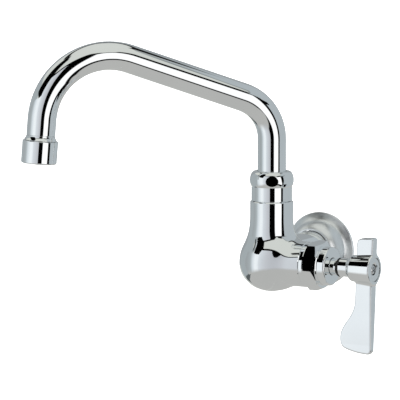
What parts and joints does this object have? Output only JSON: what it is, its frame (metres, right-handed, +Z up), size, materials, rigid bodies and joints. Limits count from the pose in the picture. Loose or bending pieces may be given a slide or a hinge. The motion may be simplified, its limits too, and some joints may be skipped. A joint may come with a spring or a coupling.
{
  "type": "wall mount swing spout faucet",
  "caption": "Single-hole wall faucet: bulb-shaped chrome body on a round wall flange, swing spout bent over and down to an aerator, and a two-bladed quarter-turn lever on the right.",
  "frame": {"origin": "centre of the flange's back face, on the wall plane, on the axis of the inlet", "axes": "+Z up along the neck, +X along the valve axis towards the lever, +Y into the wall, so the room is on the -Y side"},
  "size_m": [0.2007, 0.1916, 0.2041],
  "materials": {
    "chrome_plating": "mirror-polished chrome plate over brass",
    "bare_brass": "machined, unplated",
    "stainless_steel": "stainless fasteners and mesh",
    "black_rubber": "moulded nitrile rubber",
    "white_acetal": "moulded acetal",
    "valve_ceramic": "lapped alumina"
  },
  "bodies": {
    "faucet": {"faucet_body": "chrome_plating", "wall_flange": "chrome_plating", "bonnet_nut": "chrome_plating", "cartridge_body": "chrome_plating", "cartridge_washer": "black_rubber", "seat_seal": "black_rubber", "fixed_ceramic_disc": "valve_ceramic", "swivel_nut": "chrome_plating", "swivel_bushing": "white_acetal", "thrust_washer": "white_acetal"},
    "spout": {"spout_tube": "chrome_plating", "spout_sleeve": "bare_brass", "sleeve_oring_lower": "black_rubber", "sleeve_oring_upper": "black_rubber", "spout_snap_ring": "bare_brass", "outlet_adapter": "chrome_plating", "aerator_housing": "chrome_plating", "aerator_washer": "black_rubber", "aerator_screen": "stainless_steel", "aerator_insert": "white_acetal"},
    "lever": {"lever_handle": "chrome_plating", "handle_screw": "stainless_steel", "handle_index": "chrome_plating", "handle_dust_ring": "black_rubber", "valve_stem": "bare_brass", "stem_clip": "stainless_steel", "stem_oring_inner": "black_rubber", "stem_oring_outer": "black_rubber", "moving_ceramic_disc": "valve_ceramic"}
  },
  "joints": [
    {"name": "spout_swivel", "type": "hinge", "parent": "faucet", "child": "spout", "pos_m": [0, -0.0714, 0.05], "axis": [0, 0, 1], "range_deg": [-63, 155]},
    {"name": "lever_turn", "type": "hinge", "parent": "faucet", "child": "lever", "pos_m": [0.064, -0.0714, 0], "axis": [-1, 0, 0], "range_deg": [0, 90]}
  ]
}
